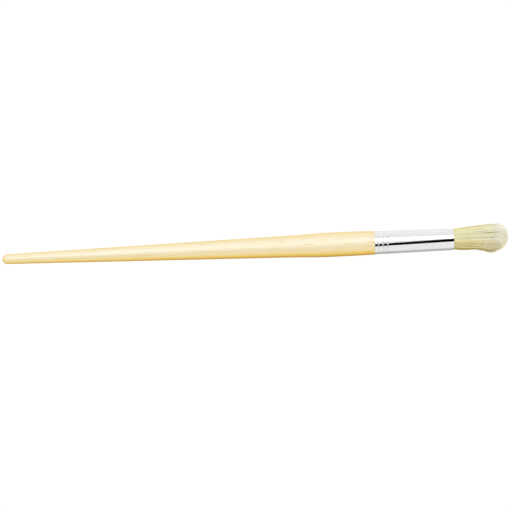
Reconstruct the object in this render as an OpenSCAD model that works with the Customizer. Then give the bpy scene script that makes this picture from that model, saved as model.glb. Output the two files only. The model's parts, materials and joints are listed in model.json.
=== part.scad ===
// Long-handled round bristle brush, lying along +X with its bristles towards +X.
// The origin is on the axis, in the middle of the cylindrical grip at the thickest part of the handle.

/* [Overall] */
// Length from the tail of the handle to the tip of the bristles
overall_length = 320; // [280:1:360]
// Length of the ferrule
ferrule_length = 50; // [45:1:60]
// Length of the bristles outside the ferrule
bristle_length = 35; // [28:1:40]

/* [Handle] */
// Diameter of the grip, the thickest part of the handle
grip_d = 15.4; // [15.2:0.1:18]
// Length of the cylindrical stretch of the grip
grip_length = 14; // [8:1:20]
// Distance from the middle of the grip to the rear edge of the ferrule
grip_to_ferrule = 21.3; // [18:0.1:30]
// Diameter of the wood where it meets the ferrule
neck_d = 15; // [14.9:0.1:15.2]
// Diameter of the handle where the long taper begins to swell into the grip
taper_d = 13.9; // [12:0.1:15]
// Distance from the middle of the grip back to that place
taper_to_grip = 32; // [24:1:50]
// Diameter of the tail, where its rounded end begins
tail_d = 6.2; // [5:0.1:8]
// Height of the rounded end of the tail
tail_dome = 2.4; // [1.5:0.1:2.5]
// Length of the tenon that the ferrule grips
tenon_length = 19; // [15:1:22]

/* [Ferrule] */
// Outside diameter at the rear edge
ferrule_rear_d = 14.8; // [14.4:0.1:14.8]
// Outside diameter at the mouth
ferrule_mouth_d = 13.6; // [13.4:0.1:14]
// Thickness of the drawn metal
ferrule_wall = 0.35; // [0.3:0.05:0.5]
// Number of crimps that bite the tenon
crimp_count = 3; // [1:1:4]
// Distance from the rear edge to the first crimp
crimp_start = 2.4; // [2:0.1:4]
// Distance between neighbouring crimps
crimp_pitch = 2.9; // [2.6:0.1:3.2]
// Depth of the middle crimp
crimp_depth = 0.2; // [0.2:0.05:0.4]
// Depth of the crimps beside it
side_crimp_depth = 0.15; // [0.15:0.05:0.4]
// Radius of the bead on the crimping tool
crimp_r = 0.8; // [0.8:0.1:1.2]

/* [Bristles] */
// Diameter of the tuft where it leaves the ferrule
heel_d = 13.2; // [13:0.1:13.4]
// Largest diameter of the tuft
belly_d = 18; // [16:0.1:20]
// Distance from the ferrule's mouth to the largest diameter
belly_station = 25.5; // [20:0.5:26]
// Length of the bristles inside the ferrule
root_length = 22; // [18:1:24]
// Angle that each slice of the tuft may turn on the one before it, in degrees
slice_turn = 15; // [8:1:18]

/* [Setting] */
// Depth of the resin that holds the bristle roots
resin_depth = 5; // [4:0.5:6]
// Thickness of the resin behind the root ends
resin_floor = 2; // [1.5:0.5:3]
// Diameter of the tying thread
thread_d = 0.6; // [0.4:0.1:0.6]
// Turns of thread round the bundle
thread_turns = 6; // [3:1:8]
// Thickness of the cement between the tenon and the ferrule
cement_gap = 0.15; // [0.1:0.05:0.2]

/* [Hidden] */
$fn = 96;

seam = 0.01;      // hairline left between pieces that touch, so that their faces stay apart
edge_break = 0.1; // chamfer that takes the sharpness off cut edges
curve_steps = 10; // straight steps in each curved stretch of an outline

// Stations along the brush, measured along +X from the origin.
ferrule_rear = grip_to_ferrule;
ferrule_mouth = ferrule_rear + ferrule_length;
toe_tip = ferrule_mouth + bristle_length;
tail_tip = toe_tip - overall_length;
tail_shoulder = tail_tip + tail_dome;
tenon_end = ferrule_rear + tenon_length;
root_end = ferrule_mouth - root_length;
resin_rear = root_end - resin_floor;
resin_front = resin_rear + resin_depth;
thread_rear = resin_front + thread_d / 2 + 5 * seam;
thread_pitch = 0.9 * thread_d;
knot_front = thread_rear + thread_turns * thread_pitch;

// A height between a and b, a share t of the way along. The curve ends level, and starts
// level too, unless lead gives it the rise that a straight start would have had.
function swell(a, b, t, lead = 0) = a + (b - a) * t * t * (3 - 2 * t) + lead * t * pow(1 - t, 2);

// Points [radius, station] of a swelling stretch.
function swell_points(a, b, from, to, lead = 0) =
    [for (i = [0 : curve_steps]) let (t = i / curve_steps) [swell(a, b, t, lead), from + t * (to - from)]];

// Outside radius of the ferrule at a station.
function ferrule_r(x) =
    (ferrule_rear_d + (ferrule_mouth_d - ferrule_rear_d) * (x - ferrule_rear) / ferrule_length) / 2;

// Inside radius of the ferrule at a station, less a gap.
function bore_r(x, gap = 0) = ferrule_r(x) - ferrule_wall - gap;

// Radius of the tuft at a distance from the ferrule's mouth: it flares, then closes in an elliptical toe.
function tuft_r(s) = s <= belly_station
    ? swell(heel_d, belly_d, s / belly_station) / 2
    : belly_d / 2 * sqrt(max(0, 1 - pow((s - belly_station) / (bristle_length - belly_station), 2)));

// Radius of the bundle where the thread ties it, so that the thread just clears the ferrule.
knot_r = bore_r(ferrule_mouth) - thread_d - 5 * seam;

// Turns an outline drawn as [radius, station] about the brush's axis.
module turned() {
    rotate([0, 90, 0]) rotate_extrude() children();
}

// Places the crimping tool's bead where it has pressed each crimp into the ferrule's outside.
module at_crimps() {
    for (i = [0 : crimp_count - 1]) {
        x = ferrule_rear + crimp_start + i * crimp_pitch;
        depth = abs(i - (crimp_count - 1) / 2) < 1 ? crimp_depth : side_crimp_depth;
        translate([ferrule_r(x) + crimp_r - depth, x]) children();
    }
}

// Outline of the space inside the ferrule between two stations, drawn in by a gap.
module bore_outline(from, to, gap) {
    difference() {
        polygon([[0, from], [bore_r(from, gap), from], [bore_r(to, gap), to], [0, to]]);
        at_crimps() circle(crimp_r + ferrule_wall + gap);
    }
}

// Outline of the rounded end of the tail: a cap of a sphere.
module tail_outline() {
    tail_r = tail_d / 2;
    cap_r = (tail_r * tail_r + tail_dome * tail_dome) / (2 * tail_dome);
    intersection() {
        translate([0, tail_tip + cap_r]) circle(cap_r);
        translate([0, tail_tip]) square([tail_r, tail_dome]);
    }
}

// Outline of the turned wood from the tail's cap to the shoulder under the ferrule's rear edge.
module shaft_outline() {
    grip_rear = -grip_length / 2;
    grip_front = grip_length / 2;
    taper_front = -taper_to_grip;
    shoulder = ferrule_rear - seam;
    taper_slope = (taper_d - tail_d) / 2 / (taper_front - tail_shoulder);
    polygon(concat(
        [[0, tail_shoulder], [tail_d / 2, tail_shoulder]],
        swell_points(taper_d / 2, grip_d / 2, taper_front, grip_rear, taper_slope * (grip_rear - taper_front)),
        swell_points(grip_d / 2, neck_d / 2, grip_front, shoulder),
        [[0, shoulder]]));
}

// Outline of the tenon, with a chamfered end that leads it into the ferrule.
module tenon_outline() {
    lead = 1.2;
    root = ferrule_rear - 1; // the tenon's outline starts inside the shoulder
    tip_r = bore_r(tenon_end) - lead;
    intersection() {
        bore_outline(root, tenon_end, cement_gap);
        polygon([[0, root], [tip_r + tenon_end - root, root], [tip_r, tenon_end], [0, tenon_end]]);
    }
}

module handle() {
    color("wheat") turned() {
        tail_outline();
        shaft_outline();
        tenon_outline();
    }
}

// Seamless tapered tube, with rings pressed into it that bite the tenon.
module ferrule() {
    rear = ferrule_rear;
    mouth = ferrule_mouth;
    color("silver") turned() difference() {
        union() {
            polygon([[bore_r(rear), rear], [ferrule_r(rear) - edge_break, rear],
                     [ferrule_r(rear), rear + edge_break], [ferrule_r(mouth), mouth - edge_break],
                     [ferrule_r(mouth) - edge_break, mouth], [bore_r(mouth), mouth]]);
            intersection() {
                at_crimps() circle(crimp_r + ferrule_wall);
                translate([0, rear]) square([bore_r(rear) + seam, ferrule_length]);
            }
        }
        at_crimps() circle(crimp_r);
    }
}

// Film of cement that fills the gap round the tenon.
module tenon_cement() {
    margin = 0.8; // bare wood left at each end of the film
    color("tan") turned() difference() {
        bore_outline(ferrule_rear + margin, tenon_end - 2 * margin, seam);
        bore_outline(ferrule_rear, tenon_end, cement_gap - seam);
    }
}

// Cup of hardened resin round the root ends.
module setting_resin() {
    color("darkgoldenrod") turned() difference() {
        bore_outline(resin_rear, resin_front, seam);
        translate([0, root_end - seam]) square([knot_r + seam, resin_depth]);
    }
}

// Turns of thread, wound side by side and pressed together, that tie the bundle ahead of the resin.
module tie_thread() {
    color("ivory") turned() for (i = [0 : thread_turns - 1]) {
        translate([knot_r + seam + thread_d / 2, thread_rear + i * thread_pitch]) circle(d = thread_d, $fn = 24);
    }
}

// The bundle inside the ferrule: tied at the knot, then filling the bore as far as the mouth.
module bristle_roots() {
    full = knot_front + 3; // where the bundle has opened out to the bore
    color("khaki") turned() polygon([
        [0, root_end], [knot_r - edge_break, root_end], [knot_r, root_end + edge_break], [knot_r, knot_front],
        [bore_r(full, seam), full], [bore_r(ferrule_mouth, seam), ferrule_mouth], [0, ferrule_mouth]]);
}

// One slice of the tuft between two distances from the mouth. Its ends are cones whose points
// meet its neighbours' on the axis, so that it can turn on them by slice_turn in any direction.
module tuft_slice(from, to, rear_cone, front_cone) {
    rear_edge = from + tuft_r(from) * tan(rear_cone);
    front_edge = to - tuft_r(to) * tan(front_cone);
    side = [for (i = [0 : curve_steps])
        let (s = rear_edge + (front_edge - rear_edge) * i / curve_steps)
        [tuft_r(s), ferrule_mouth + s]];
    color("khaki") turned()
        polygon(concat([[0, ferrule_mouth + from + seam]], side, [[0, ferrule_mouth + to]]));
}

spare_turn = 0.3;                        // degrees of clearance left at the end of a turn
shared_cone = slice_turn / 2 + spare_turn; // cone of a face whose neighbour is coned as well
heel_cone = slice_turn + spare_turn;       // cone of the heel, which turns on the flat mouth
quarter = bristle_length / 4;

module bristle_heel() tuft_slice(0, quarter, heel_cone, shared_cone);
module bristle_lower_belly() tuft_slice(quarter, 2 * quarter, shared_cone, shared_cone);
module bristle_upper_belly() tuft_slice(2 * quarter, 3 * quarter, shared_cone, shared_cone);
module bristle_toe() tuft_slice(3 * quarter, bristle_length, shared_cone, 0);

handle();
ferrule();
tenon_cement();
setting_resin();
tie_thread();
bristle_roots();
bristle_heel();
bristle_lower_belly();
bristle_upper_belly();
bristle_toe();
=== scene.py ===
"""A long-handled round bristle brush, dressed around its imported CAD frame."""
import json
import math

import bpy
import numpy as np
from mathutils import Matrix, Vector


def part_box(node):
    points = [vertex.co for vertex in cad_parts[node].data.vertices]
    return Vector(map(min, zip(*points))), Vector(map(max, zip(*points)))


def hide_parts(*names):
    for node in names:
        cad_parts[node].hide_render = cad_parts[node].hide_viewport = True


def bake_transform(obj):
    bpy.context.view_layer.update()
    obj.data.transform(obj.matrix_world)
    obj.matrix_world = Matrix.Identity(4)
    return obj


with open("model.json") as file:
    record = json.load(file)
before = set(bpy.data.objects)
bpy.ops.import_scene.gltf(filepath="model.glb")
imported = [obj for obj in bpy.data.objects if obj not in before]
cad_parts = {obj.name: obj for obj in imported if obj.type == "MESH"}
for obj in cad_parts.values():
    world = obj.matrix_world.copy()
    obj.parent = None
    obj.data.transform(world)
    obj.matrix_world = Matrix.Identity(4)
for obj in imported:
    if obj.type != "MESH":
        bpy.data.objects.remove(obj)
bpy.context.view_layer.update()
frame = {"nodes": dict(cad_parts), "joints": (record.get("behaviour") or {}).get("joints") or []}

MM = 0.001
scene = bpy.context.scene
nodes = frame["nodes"]


# ---------------------------------------------------------------- the frame's stations and radii

def bore_radius(node, x, reach=0.3 * MM):
    """Smallest distance from the axis of a node's vertices near station x."""
    return min(math.hypot(v.co.y, v.co.z) for v in nodes[node].data.vertices if abs(v.co.x - x) < reach)


hinges = sorted(frame["joints"], key=lambda joint: joint["pos_m"][0])
hinge_x = [joint["pos_m"][0] for joint in hinges]
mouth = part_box("ferrule")[1].x
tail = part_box("handle")[0].x
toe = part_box("bristle_toe")[1].x
tuft_length = toe - mouth
belly_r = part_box("bristle_upper_belly")[1].z
bore_r = bore_radius("ferrule", mouth)
middle = Vector(((tail + toe) / 2, 0, 0))


# ---------------------------------------------------------------- node helpers

def new_material(name):
    """A material with a Principled surface, and two functions that add and link nodes in it."""
    material = bpy.data.materials.new(name)
    material.use_nodes = True
    tree = material.node_tree
    surface = tree.nodes["Principled BSDF"]

    def add(kind, settings=None, **links):
        node = tree.nodes.new("ShaderNode" + kind)
        for key, value in (settings or {}).items():
            if isinstance(key, int) or key in node.inputs:
                node.inputs[key].default_value = value
            else:
                setattr(node, key, value)
        for key, source in links.items():
            connect(source, node, key)
        return node

    def connect(source, node, key):
        """Links a socket, or a node's first output, to the input called key; i2 is the input of index 2."""
        name_or_index = int(key[1:]) if key[0] == "i" and key[1:].isdigit() else key.replace("_", " ")
        socket = source if isinstance(source, bpy.types.NodeSocket) else source.outputs[0]
        tree.links.new(socket, node.inputs[name_or_index])

    return material, surface, add, connect


def srgb(code):
    """Linear colour of a hexadecimal sRGB code."""
    values = [int(code[i:i + 2], 16) / 255 for i in (0, 2, 4)]
    return tuple(v / 12.92 if v <= 0.04045 else ((v + 0.055) / 1.055) ** 2.4 for v in values) + (1.0,)


def grey(value):
    return (value, value, value, 1.0)


def ramp(add, source, *stops):
    """A ramp over source; a stop is a position with a colour's code or a grey level."""
    node = add("ValToRGB", Fac=source)
    elements = node.color_ramp.elements
    while len(elements) < len(stops):
        elements.new(1.0)
    for element, (position, shade) in zip(elements, stops):
        element.position = position
        element.color = srgb(shade) if isinstance(shade, str) else grey(shade)
    return node


def mix(add, connect, factor, a, b, how="MIX"):
    """The colour socket of a and b mixed; each of the three is a node, a socket or a plain value."""
    node = add("Mix", {"data_type": "RGBA", "blend_type": how})
    for index, value in ((0, factor), (6, a), (7, b)):
        if isinstance(value, (tuple, float)):
            node.inputs[index].default_value = value
        else:
            connect(value, node, "i%d" % index)
    return node.outputs[2]


def noise(add, place, cycles, **settings):
    """Noise with this many cycles in a metre along X, Y and Z."""
    stretched = add("Mapping", {"Scale": cycles}, Vector=place)
    return add("TexNoise", {"Scale": 1.0, **settings}, Vector=stretched)


def put_on_output(material, connect, shader):
    output = next(n for n in material.node_tree.nodes if n.type == "OUTPUT_MATERIAL")
    connect(shader, output, "Surface")


# ---------------------------------------------------------------- materials

def wood_material():
    """Pale birch turned from a straight-grained blank, under clear satin lacquer."""
    material, surface, add, connect = new_material("lacquered_birch")
    place = add("TexCoord").outputs["Object"]
    # the blank's rings are planes that wander a few millimetres along the handle
    wander = noise(add, place, (14, 90, 90), Detail=2.0)
    shifted = add("VectorMath", {"operation": "MULTIPLY_ADD", 1: (0.0, 4 * MM, 4 * MM)},
                  i0=wander.outputs["Color"], i2=place)
    rings = noise(add, shifted, (6, 620, 480), Detail=3.0, Roughness=0.6)
    fibre = noise(add, place, (60, 3200, 3200), Detail=4.0, Roughness=0.7)
    streaks = ramp(add, rings, (0.30, "EDDFB9"), (0.50, "F0E6CE"), (0.70, "EBDAAF"))
    fibres = ramp(add, fibre, (0.3, "F1E3BE"), (0.6, "FFFFFF"))
    grain = mix(add, connect, 0.25, streaks, fibres, "MULTIPLY")
    # small yellow-brown flecks, drawn out along the grain
    flecks = ramp(add, noise(add, place, (120, 1150, 1150), Detail=1.0), (0.63, 0.0), (0.76, 0.8))
    flecked = mix(add, connect, flecks, grain, srgb("E2C666"))
    # the lacquer looks deeper where it is seen aslant, partly from the longer path through it and partly as
    # painted shade at the edges; on the -Y side, the side away from the key light, it is painted deeper
    # still as painted shade
    aslant = add("LayerWeight", {"Blend": 0.5}).outputs["Facing"]
    facing_y = add("SeparateXYZ", Vector=add("TexCoord").outputs["Normal"]).outputs["Y"]
    lacquer_depth_and_painted_shade = add("Math", {"operation": "MULTIPLY_ADD", 1: -0.25}, i0=facing_y, i2=aslant)
    amber = ramp(add, lacquer_depth_and_painted_shade, (0.0, "FFFFFF"), (0.06, "FFFCF1"), (0.19, "FFF8DF"), (0.32, "FFF4CB"),
                 (0.41, "FFF0BA"), (0.51, "FFEB96"), (0.64, "FCDE6A"), (0.80, "EEC852"), (1.0, "D8A43C"))
    connect(mix(add, connect, 1.0, flecked, amber, "MULTIPLY"), surface, "Base_Color")
    connect(ramp(add, fibre, (0.2, 0.30), (0.8, 0.42)), surface, "Roughness")
    # the shine fades where the lacquer is deep and the painted shade strongest, at the edges and most on
    # the -Y side, so that reflections don't wash out the painted shade
    connect(ramp(add, lacquer_depth_and_painted_shade, (0.3, 0.75), (0.6, 0.2)), surface, "Coat_Weight")
    surface.inputs["Coat IOR"].default_value = 2.0
    surface.inputs["Coat Roughness"].default_value = 0.34
    connect(add("Bump", {"Strength": 0.12, "Distance": 0.05 * MM}, Height=fibre), surface, "Normal")
    return material


def plated_material():
    """Bright nickel plate on drawn tube: nearly a mirror, with faint lengthwise draw lines."""
    material, surface, add, connect = new_material("nickel_plate")
    place = add("TexCoord").outputs["Object"]
    draw_lines = noise(add, place, (25, 2600, 2600), Detail=3.0)
    cloud = add("TexNoise", {"Scale": 260.0, "Detail": 3.0}, Vector=place)
    surface.inputs["Metallic"].default_value = 1.0
    connect(ramp(add, cloud, (0.3, "F3F4F5"), (0.7, "FAFBFB")), surface, "Base_Color")
    connect(ramp(add, draw_lines, (0.3, 0.04), (0.8, 0.08)), surface, "Roughness")
    connect(add("Bump", {"Strength": 0.012, "Distance": 0.02 * MM}, Height=draw_lines), surface, "Normal")
    return material


def bristle_material():
    """Natural white hog bristle: straw at the root, paler at the split tips, each bristle of its own tone.

    A bristle's mesh says how far along it a point is (along) and how pale the bristle is (shade); the shade
    also holds painted shade, darker deep in the tuft and olive along its -Y side."""
    material, surface, add, connect = new_material("hog_bristle")
    along = add("Attribute", {"attribute_name": "along"}).outputs["Fac"]
    shade = add("Attribute", {"attribute_name": "shade"}).outputs["Fac"]
    # light crosses many bristles, so a tint this faint gives the whole tuft its straw colour
    length = ramp(add, along, (0.0, "FFFFF1"), (0.35, "FFFFF4"), (0.75, "FFFFFA"), (1.0, "FFFFFF"))
    # own tints each bristle by its shade: its own tone, together with painted shade deep in the tuft and
    # along its sides
    own = ramp(add, shade, (0.0, "CCBE5C"), (0.3, "F4E8AC"), (0.55, "FFFDEC"), (1.0, "FFFFFF"))
    strength = ramp(add, along, (0.0, 0.85), (0.45, 0.80), (0.7, 0.55), (0.85, 0.60), (1.0, 0.05))
    colour = mix(add, connect, strength, length, own, "MULTIPLY")
    connect(colour, surface, "Base_Color")
    surface.inputs["Roughness"].default_value = 0.42
    surface.inputs["Specular IOR Level"].default_value = 0.20
    through = add("BsdfTranslucent", Color=colour)
    put_on_output(material, connect, add("MixShader", {0: 0.5}, i1=surface.outputs[0], i2=through))
    return material


def mottled_material(name, dark, light, cycles, roughness):
    """A mottled matt finish for the pieces hidden inside the ferrule."""
    material, surface, add, connect = new_material(name)
    mottle = noise(add, add("TexCoord").outputs["Object"], cycles, Detail=4.0)
    connect(ramp(add, mottle, (0.3, dark), (0.7, light)), surface, "Base_Color")
    connect(ramp(add, mottle, (0.3, roughness - 0.1), (0.7, roughness + 0.1)), surface, "Roughness")
    connect(add("Bump", {"Strength": 0.3, "Distance": 0.1 * MM}, Height=mottle), surface, "Normal")
    return material


def dress(node, material):
    """Gives a CAD node its finish."""
    nodes[node].data.materials.clear()
    nodes[node].data.materials.append(material)


bristle = bristle_material()
dress("handle", wood_material())
dress("ferrule", plated_material())
dress("tenon_cement", mottled_material("cement", "B08F58", "CDB07A", (900, 900, 900), 0.7))
dress("setting_resin", mottled_material("resin", "7A4E17", "A6722A", (700, 700, 700), 0.3))
dress("tie_thread", mottled_material("waxed_thread", "D9D2BC", "F0EBDC", (2500, 2500, 2500), 0.7))
dress("bristle_roots", mottled_material("packed_bristle", "C9B478", "E6DAAC", (80, 5000, 5000), 0.5))


# ---------------------------------------------------------------- the tuft: where each bristle goes

BRISTLES = 3700
LOCKS = 80                       # bunches that lean together
WISPS = 420                      # finer bunches, each of one shade
FLAGS_EACH = 4                   # split ends of each bristle
FLAG_LENGTH = 5 * MM
FLAG_THICKNESS = 0.45            # of its bristle's
FEW_FLAGS = 3 * MM               # a slice that holds less than this of the longest flags goes without
BRISTLE_R = 0.11 * MM
BELLY = 0.73 * tuft_length       # from the mouth to the widest place
ROOT = -2 * MM                   # where a bristle's mesh starts, inside the ferrule
MOUTH_GAP = 0.13 * MM            # between the bore and the outermost bristles' centre lines
FLARE = 0.6 * MM                 # how far the bristles spring out past the bore
FLARE_LENGTH = 4 * MM
BELLY_INSET = 0.25 * MM          # from the CAD tuft's widest radius to the outermost bristles there
GATHER = 0.14                    # how much of the way to its lock's middle a bristle leans
SKIN = 0.72                      # bristles beyond this share of the radius can be seen, and are rounder
# how the tuft's two sides stand out, as (height, distance from the mouth, width) in millimetres
UPPER_SIDE = ((0.35, 9.5, 3.5), (-0.35, 26, 6))      # the +Y side has a fuller shoulder
LOWER_SIDE = ((0.42, 24, 3.8), (-0.62, 14, 5))       # the -Y side has a waist, then a bulge

rng = np.random.default_rng(12)


def ease(t):
    """0 up to t = 0, 1 from t = 1, and smooth between."""
    t = np.clip(t, 0, 1)
    return t * t * (3 - 2 * t)


def bulges(s, shape):
    return sum(height * np.exp(-((s / MM - centre) / width) ** 2) for height, centre, width in shape)


def spiral(count, jitter):
    """Points spread evenly over the unit disc."""
    i = np.arange(count) + 0.5
    turn = i * math.pi * (3 - math.sqrt(5)) + rng.normal(0, jitter, count)
    return np.sqrt(i / count)[:, None] * np.stack([np.cos(turn), np.sin(turn)], 1)


def nearest(points, centres):
    """Index of the centre that is nearest to each point."""
    return np.argmin(((points[:, None] - centres[None]) ** 2).sum(2), 1)


# each bristle's place in the bundle, as a unit disc whose first axis is Y
disc = spiral(BRISTLES, 0.25)
lock_centre = spiral(LOCKS, 0.1) * 0.97
lock = nearest(disc, lock_centre)
radius = np.hypot(disc[:, 0], disc[:, 1])
outwards = disc / radius[:, None]
upper = np.clip(outwards[:, 0], 0, 1)                # 1 on the +Y side
lower = np.clip(-outwards[:, 0], 0, 1)               # 1 on the -Y side

lock_out = rng.uniform(-0.1, 0.2, LOCKS) * MM        # how far each lock stands out at the belly
lock_short = np.abs(rng.normal(0, 0.4, LOCKS)) * MM  # how far it falls short of the dome
lock_shade = rng.uniform(0.25, 1.0, LOCKS)
wave_phase = rng.uniform(0, 2 * math.pi, (BRISTLES, 2))
wave_length = rng.uniform(16, 34, (BRISTLES, 1)) * MM
wave_height = rng.uniform(0.03, 0.22, (BRISTLES, 1)) * MM

# painted shade on top of each lock's own tone: darker towards the inside of the tuft, olive along the -Y
# side, and faintly darker along the +Y side
shade = np.clip(lock_shade[lock] + rng.normal(0, 0.38, BRISTLES) - 0.5 * (1 - radius), 0, 1)
shade = (0.3 + 0.7 * shade) * (1 - 0.80 * ease((lower * radius - 0.25) / 0.65))
shade *= 1 - 0.40 * ease((upper * radius - 0.6) / 0.35)

# the tips make a blunt dome that reaches further on the +Y side, and are a little uneven
dome = np.clip(1 - (0.97 * radius) ** 2.6, 0, 1) ** 0.45
tip = BELLY + (tuft_length - BELLY) * dome
tip += (0.8 * upper - 3.2 * lower) * radius ** 3 * MM
tip -= lock_short[lock] + np.abs(rng.normal(0, 1.4, BRISTLES)) * MM
tip = np.minimum(tip + 0.8 * MM, tuft_length + 0.4 * MM)


def bristle_path(i, s):
    """Where (y, z) bristles i are at distances s from the mouth; i and s have the same shape."""
    to_belly = s / BELLY
    start_r = bore_r - MOUTH_GAP
    heel_r = start_r + FLARE * ease(s / FLARE_LENGTH)
    reach = heel_r + (belly_r - BELLY_INSET - start_r - FLARE) * ease(np.clip(to_belly, 0, 1) ** 1.3)
    reach = reach * (1 - 0.05 * np.clip(to_belly - 1, 0, 1))
    gather = GATHER * ease((s - 7 * MM) / (22 * MM))
    unit = disc[i] + (lock_centre[lock[i]] - disc[i]) * gather[..., None]
    spread = ease((s - 10 * MM) / (12 * MM)) * lock_out[lock[i]]
    spread += upper[i] ** 2 * bulges(s, UPPER_SIDE) * MM
    spread += lower[i] ** 2 * bulges(s, LOWER_SIDE) * MM
    wave = np.sin(2 * math.pi * s[..., None] / wave_length[i] + wave_phase[i]) * wave_height[i]
    return (unit * reach[..., None] + outwards[i] * (spread * radius[i])[..., None]
            + wave * ease(s / (14 * MM))[..., None])


# ---------------------------------------------------------------- the tuft: its meshes

def fibre_group(owner, start, end, thick, taper, sides, steps, drift=0.0):
    """Fibres of the bristles in owner; each drifts off its bristle's path by drift at its end."""
    return {"owner": owner, "start": start, "end": end, "thick": thick, "taper": taper, "sides": sides,
            "steps": steps, "drift": drift + np.zeros((len(owner), 2))}


def tubes(group, low, high):
    """The lengths of a group of fibres between distances low and high from the mouth, as closed tubes.

    Returns vertices, wall faces, end faces, and each vertex's along and shade."""
    first_s = np.maximum(group["start"], low)
    last_s = np.minimum(group["end"], high)
    use = np.nonzero(last_s - first_s > 0.02 * MM)[0]
    count, rings, sides = len(use), group["steps"] + 1, group["sides"]
    start, end, owner = group["start"][use, None], group["end"][use, None], group["owner"][use]
    s = first_s[use, None] + (last_s - first_s)[use, None] * np.linspace(0, 1, rings)
    share = (s - start) / (end - start)
    yz = bristle_path(np.repeat(owner[:, None], rings, 1), s)
    yz = yz + group["drift"][use, None] * (share ** 1.4)[..., None]
    r = group["thick"][use, None] * (1 + (group["taper"] - 1) * share)
    turn = np.arange(sides) / sides * 2 * math.pi
    circle = np.stack([np.cos(turn), np.sin(turn)], 1)
    points = np.empty((count, rings, sides, 3))
    points[..., 0] = (mouth + s)[..., None]
    points[..., 1:] = yz[:, :, None] + circle * r[..., None, None]
    ring = np.arange(count * rings).reshape(count, rings)[:, :-1, None] * sides
    j = np.arange(sides)
    k = (j + 1) % sides
    walls = np.stack([ring + j, ring + k, ring + sides + k, ring + sides + j], -1).reshape(-1, 4)
    base = np.arange(count)[:, None] * rings * sides
    ends = np.concatenate([base + j[::-1], base + (rings - 1) * sides + j])
    along = np.repeat(s / tip[owner][:, None], sides)
    return points.reshape(-1, 3), walls, ends, along, np.repeat(shade[owner], rings * sides)


def tuft_piece(name, low, high, groups):
    """One slice of the tuft as a mesh, between distances low and high from the mouth."""
    points, walls, ends, along, shades, base = [], [], [], [], [], 0
    for group in groups:
        made = tubes(group, low, high)
        points.append(made[0])
        walls += (made[1] + base).tolist()
        ends += (made[2] + base).tolist()
        along.append(made[3])
        shades.append(made[4])
        base += len(made[0])
    mesh = bpy.data.meshes.new(name)
    mesh.from_pydata(np.concatenate(points).tolist(), [], walls + ends)
    flat = np.zeros(len(walls) + len(ends), bool)
    flat[len(walls):] = True
    mesh.attributes.new("sharp_face", "BOOLEAN", "FACE").data.foreach_set("value", flat)
    for key, values in (("along", along), ("shade", shades)):
        attribute = mesh.attributes.new(key, "FLOAT", "POINT")
        attribute.data.foreach_set("value", np.concatenate(values).astype(np.float32))
    mesh.materials.append(bristle)
    piece = bpy.data.objects.new(name, mesh)
    scene.collection.objects.link(piece)
    return piece


split = tip - FLAG_LENGTH * rng.uniform(0.6, 1.2, BRISTLES)
thick = BRISTLE_R * rng.uniform(0.75, 1.1, BRISTLES)
root = np.full(BRISTLES, ROOT)
skin = np.nonzero(radius > SKIN)[0]
core = np.nonzero(radius <= SKIN)[0]
shafts = [fibre_group(skin, root[skin], split[skin], thick[skin], taper=0.75, sides=5, steps=6),
          fibre_group(core, root[core], split[core], thick[core], taper=0.75, sides=3, steps=3)]
flag_owner = np.repeat(np.arange(BRISTLES), FLAGS_EACH)
flag_end = tip[flag_owner] - np.abs(rng.normal(0, 0.9, len(flag_owner))) * MM
flag_drift = rng.normal(0, 0.7, (len(flag_owner), 2)) * MM
flag_thick = thick[flag_owner] * FLAG_THICKNESS
flags = [fibre_group(flag_owner, split[flag_owner], flag_end, flag_thick,
                     taper=0.35, sides=3, steps=2, drift=flag_drift)]

# within a lock the bristles cling together in wisps, each of its own shade
wisp = nearest(disc, spiral(WISPS, 0.2))
shade = np.clip(shade + rng.uniform(-0.4, 0.35, WISPS)[wisp], 0, 1)

# the shafts and the flags are cut at the hinges into pieces; the heel's piece starts inside the ferrule
slice_ends = hinge_x[1:] + [toe + 5 * MM]
for joint, low_x, high_x in zip(hinges, hinge_x, slice_ends):
    body = joint["child"]
    low = low_x - mouth if joint is not hinges[0] else ROOT
    high = high_x - mouth
    pieces = [tuft_piece("tuft_" + body, low, high, shafts)]
    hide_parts("bristle_" + body)
    if high > split.min() + FEW_FLAGS:
        pieces.append(tuft_piece("flags_" + body, low, high, flags))
    for piece in pieces:
        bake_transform(piece)


# ---------------------------------------------------------------- studio: floor and reflection cards

FLOOR_DROP = 19.3 * MM           # below the brush's axis, so that the bent tuft just clears the floor
OVERHEAD = 0.80                  # height of the cards and the camera above the axis


def stage_mesh(name, size_x, size_y, place, material):
    """A flat rectangle that is not part of the brush."""
    mesh = bpy.data.meshes.new(name)
    x, y = size_x / 2, size_y / 2
    mesh.from_pydata([(-x, -y, 0), (x, -y, 0), (x, y, 0), (-x, y, 0)], [], [(0, 1, 2, 3)])
    mesh.materials.append(material)
    thing = bpy.data.objects.new(name, mesh)
    thing.location = place
    scene.collection.objects.link(thing)
    return thing


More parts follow.
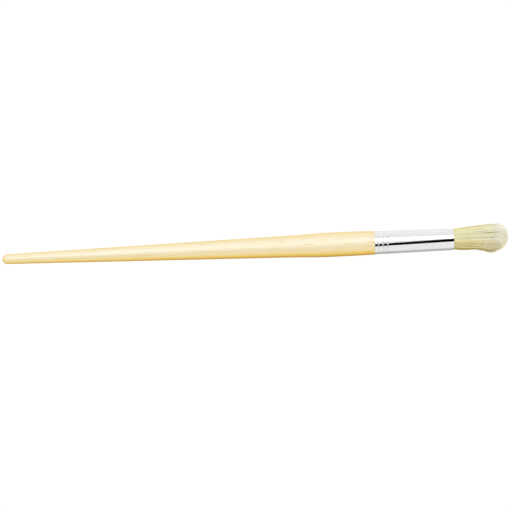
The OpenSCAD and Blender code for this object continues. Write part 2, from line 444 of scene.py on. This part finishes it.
def floor_material():
    """A pale matt floor; what the camera sees of it is mostly a glow, so that shadows on it stay faint."""
    material, surface, add, connect = new_material("pale_floor")
    place = add("TexCoord").outputs["Object"]
    tooth = add("TexNoise", {"Scale": 900.0, "Detail": 3.0}, Vector=place)
    surface.inputs["Roughness"].default_value = 0.9
    surface.inputs["Specular IOR Level"].default_value = 0.1
    ray = add("LightPath")
    pale = ramp(add, tooth, (0.3, "F1F1F0"), (0.7, "F5F5F4"))
    # light that bounces off it onto the brush is warm, as off a wooden table, and warmer on the -Y side
    side = add("SeparateXYZ", Vector=place).outputs["Y"]
    across = add("Math", {"operation": "MULTIPLY_ADD", 1: 10.0, 2: 0.5}, i0=side)
    bounce = ramp(add, across, (0.2, "E8DC9A"), (0.8, "DDD7B6"))
    warm = mix(add, connect, ray.outputs["Is Diffuse Ray"], pale, bounce)
    connect(mix(add, connect, ray.outputs["Is Glossy Ray"], warm, srgb("EAEBEB")), surface, "Base_Color")
    glow = add("Emission", {"Color": grey(1.0), "Strength": 1.06})
    glow_share = add("Math", {"operation": "MULTIPLY", 1: 0.85}, i0=ray.outputs["Is Camera Ray"])
    put_on_output(material, connect, add("MixShader", i0=glow_share, i1=surface.outputs[0], i2=glow))
    return material


def card_material(name, near, far):
    """Matt card, shaded smoothly from its far long edge (-Y) to its near one."""
    material, surface, add, connect = new_material(name)
    across = add("SeparateXYZ", Vector=add("TexCoord").outputs["Generated"]).outputs["Y"]
    connect(ramp(add, across, (0.0, far), (0.85, near)), surface, "Base_Color")
    surface.inputs["Specular IOR Level"].default_value = 0.0
    return material


def reflection_card(name, size, place, turn=0.0, near="000000", far="000000"):
    """A card that is seen only as a reflection in the ferrule."""
    card = stage_mesh(name, size[0], size[1], place, card_material(name, near, far))
    card.rotation_euler = (0, 0, math.radians(turn))
    card.visible_camera = False
    card.visible_diffuse = False
    card.visible_shadow = False
    card.visible_transmission = False


stage_mesh("floor", 8.0, 8.0, (0, 0, -FLOOR_DROP), floor_material())
# the ferrule's black line, the black that its crimps' slopes catch, and the grey along its lower edge; the
# grey card is painted shade, a dark strip on the floor beside the brush that is seen only in reflections
reflection_card("black_flag", (1.1, 0.147), (0.1535, -0.336, OVERHEAD), turn=72.4)
reflection_card("black_flag_behind", (0.85, 0.45), (-0.33, -0.46, OVERHEAD))
reflection_card("grey_card", (1.2, 0.16), (0.05, -0.09, 0.5 * MM - FLOOR_DROP), near="B2B3B5", far="ECEDEC")


# ---------------------------------------------------------------- studio: lights

KEY_SIZE = (1.4, 0.55)
KEY_PLACE = (0.0, 0.44, 0.84)


def key_light(name, radiance):
    """A soft box above the +Y side of the brush."""
    light = bpy.data.lights.new(name, "AREA")
    light.shape = "RECTANGLE"
    light.size, light.size_y = KEY_SIZE
    light.energy = radiance * math.pi * KEY_SIZE[0] * KEY_SIZE[1]
    lamp = bpy.data.objects.new(name, light)
    lamp.location = KEY_PLACE
    lamp.rotation_euler = (middle - Vector(KEY_PLACE)).to_track_quat("-Z", "Y").to_euler()
    scene.collection.objects.link(lamp)
    return lamp


key_light("key", 0.80)
sheen = key_light("sheen", 0.50)     # adds to highlights only
sheen.visible_diffuse = False


# ---------------------------------------------------------------- studio: sky

REFLECTED_SKY = 0.87             # brightness of the sky in reflections
world = bpy.data.worlds.new("studio")
world.use_nodes = True
scene.world = world
sky_tree = world.node_tree


def sky(kind, operation=None, values=(), **links):
    """A node of the sky's; values holds pairs of input index and value, and i2 is the input of index 2."""
    node = sky_tree.nodes.new("ShaderNode" + kind)
    if operation:
        node.operation = operation
    for index, value in values:
        node.inputs[index].default_value = value
    for key, source in links.items():
        sky_tree.links.new(source, node.inputs[int(key[1:])])
    return node


def sky_math(operation, *values, **links):
    return sky("Math", operation, values, **links).outputs[0]


def sky_ramp(source, *stops):
    """A ramp of grey levels over source."""
    node = sky("ValToRGB", i0=source)
    for position, value in stops:
        element = node.color_ramp.elements.new(position)
        element.color = grey(value)
    node.color_ramp.elements.remove(node.color_ramp.elements[0])
    node.color_ramp.elements.remove(node.color_ramp.elements[-1])
    return node.outputs[0]


towards = sky("SeparateXYZ", i0=sky("TexCoord").outputs["Generated"]).outputs
ray = sky("LightPath").outputs
# as a light it is white and a little brighter from the +Y side
lit = sky_math("MULTIPLY_ADD", (1, 0.05), (2, 1.0), i0=towards["Y"])
# in reflections it is even, but for a dark band part of the way up beyond both ends of the brush
ends_on = sky_ramp(sky_math("ABSOLUTE", i0=towards["X"]), (0.25, 0.0), (0.6, 0.75))
band = sky_ramp(towards["Z"], (0.2, 0.0), (0.32, 1.0), (0.42, 1.0), (0.55, 0.0))
darkened = sky_math("MULTIPLY", i0=ends_on, i1=band)
reflected = sky_math("MULTIPLY_ADD", (1, -REFLECTED_SKY), (2, REFLECTED_SKY), i0=darkened)
# in the picture it is plain white
unseen = sky("Mix", i0=ray["Is Glossy Ray"], i2=lit, i3=reflected).outputs[0]
strength = sky("Mix", values=[(3, 1.0)], i0=ray["Is Camera Ray"], i2=unseen).outputs[0]
# light that comes in low from the -Y side is amber, as if it came off wood lying there
low_down = sky_ramp(sky_math("MULTIPLY", (1, -1.0), i0=towards["Y"]), (0.4, 0.0), (0.9, 1.0))
looked_at = sky_math("MAXIMUM", i0=ray["Is Glossy Ray"], i1=ray["Is Camera Ray"])
as_light = sky_math("MULTIPLY_ADD", (1, -1.0), (2, 1.0), i0=looked_at)
tint = sky("Mix", i0=sky_math("MULTIPLY", i0=low_down, i1=as_light))
tint.data_type = "RGBA"
tint.inputs[6].default_value = grey(1.0)
tint.inputs[7].default_value = srgb("FAEAA8")
background = sky_tree.nodes["Background"]
sky_tree.links.new(tint.outputs[2], background.inputs["Color"])
sky_tree.links.new(strength, background.inputs["Strength"])

scene.view_settings.view_transform = "Standard"
# light has to cross many bristles before it comes out of the tuft
scene.cycles.max_bounces = 24
scene.cycles.diffuse_bounces = 16
scene.cycles.transmission_bounces = 24


# ---------------------------------------------------------------- camera

FRAME_WIDTH = 323.8 * MM         # what the picture spans at the brush's axis
TILT = math.radians(2.55)        # the brush rises this much to the right of the picture
SHIFT_RIGHT = 0.46 * MM          # from the brush's middle to the picture's
SHIFT_UP = -5.0 * MM
SENSOR_WIDTH = 36.0              # in millimetres, like the lens

camera_data = bpy.data.cameras.new("camera")
camera_data.sensor_width = SENSOR_WIDTH
camera_data.lens = SENSOR_WIDTH * OVERHEAD / FRAME_WIDTH
camera = bpy.data.objects.new("camera", camera_data)
right = Vector((math.cos(TILT), -math.sin(TILT), 0))
up = Vector((math.sin(TILT), math.cos(TILT), 0))
camera.location = middle + right * SHIFT_RIGHT + up * SHIFT_UP + Vector((0, 0, OVERHEAD))
camera.rotation_euler = (0, 0, -TILT)
scene.collection.objects.link(camera)
scene.camera = camera
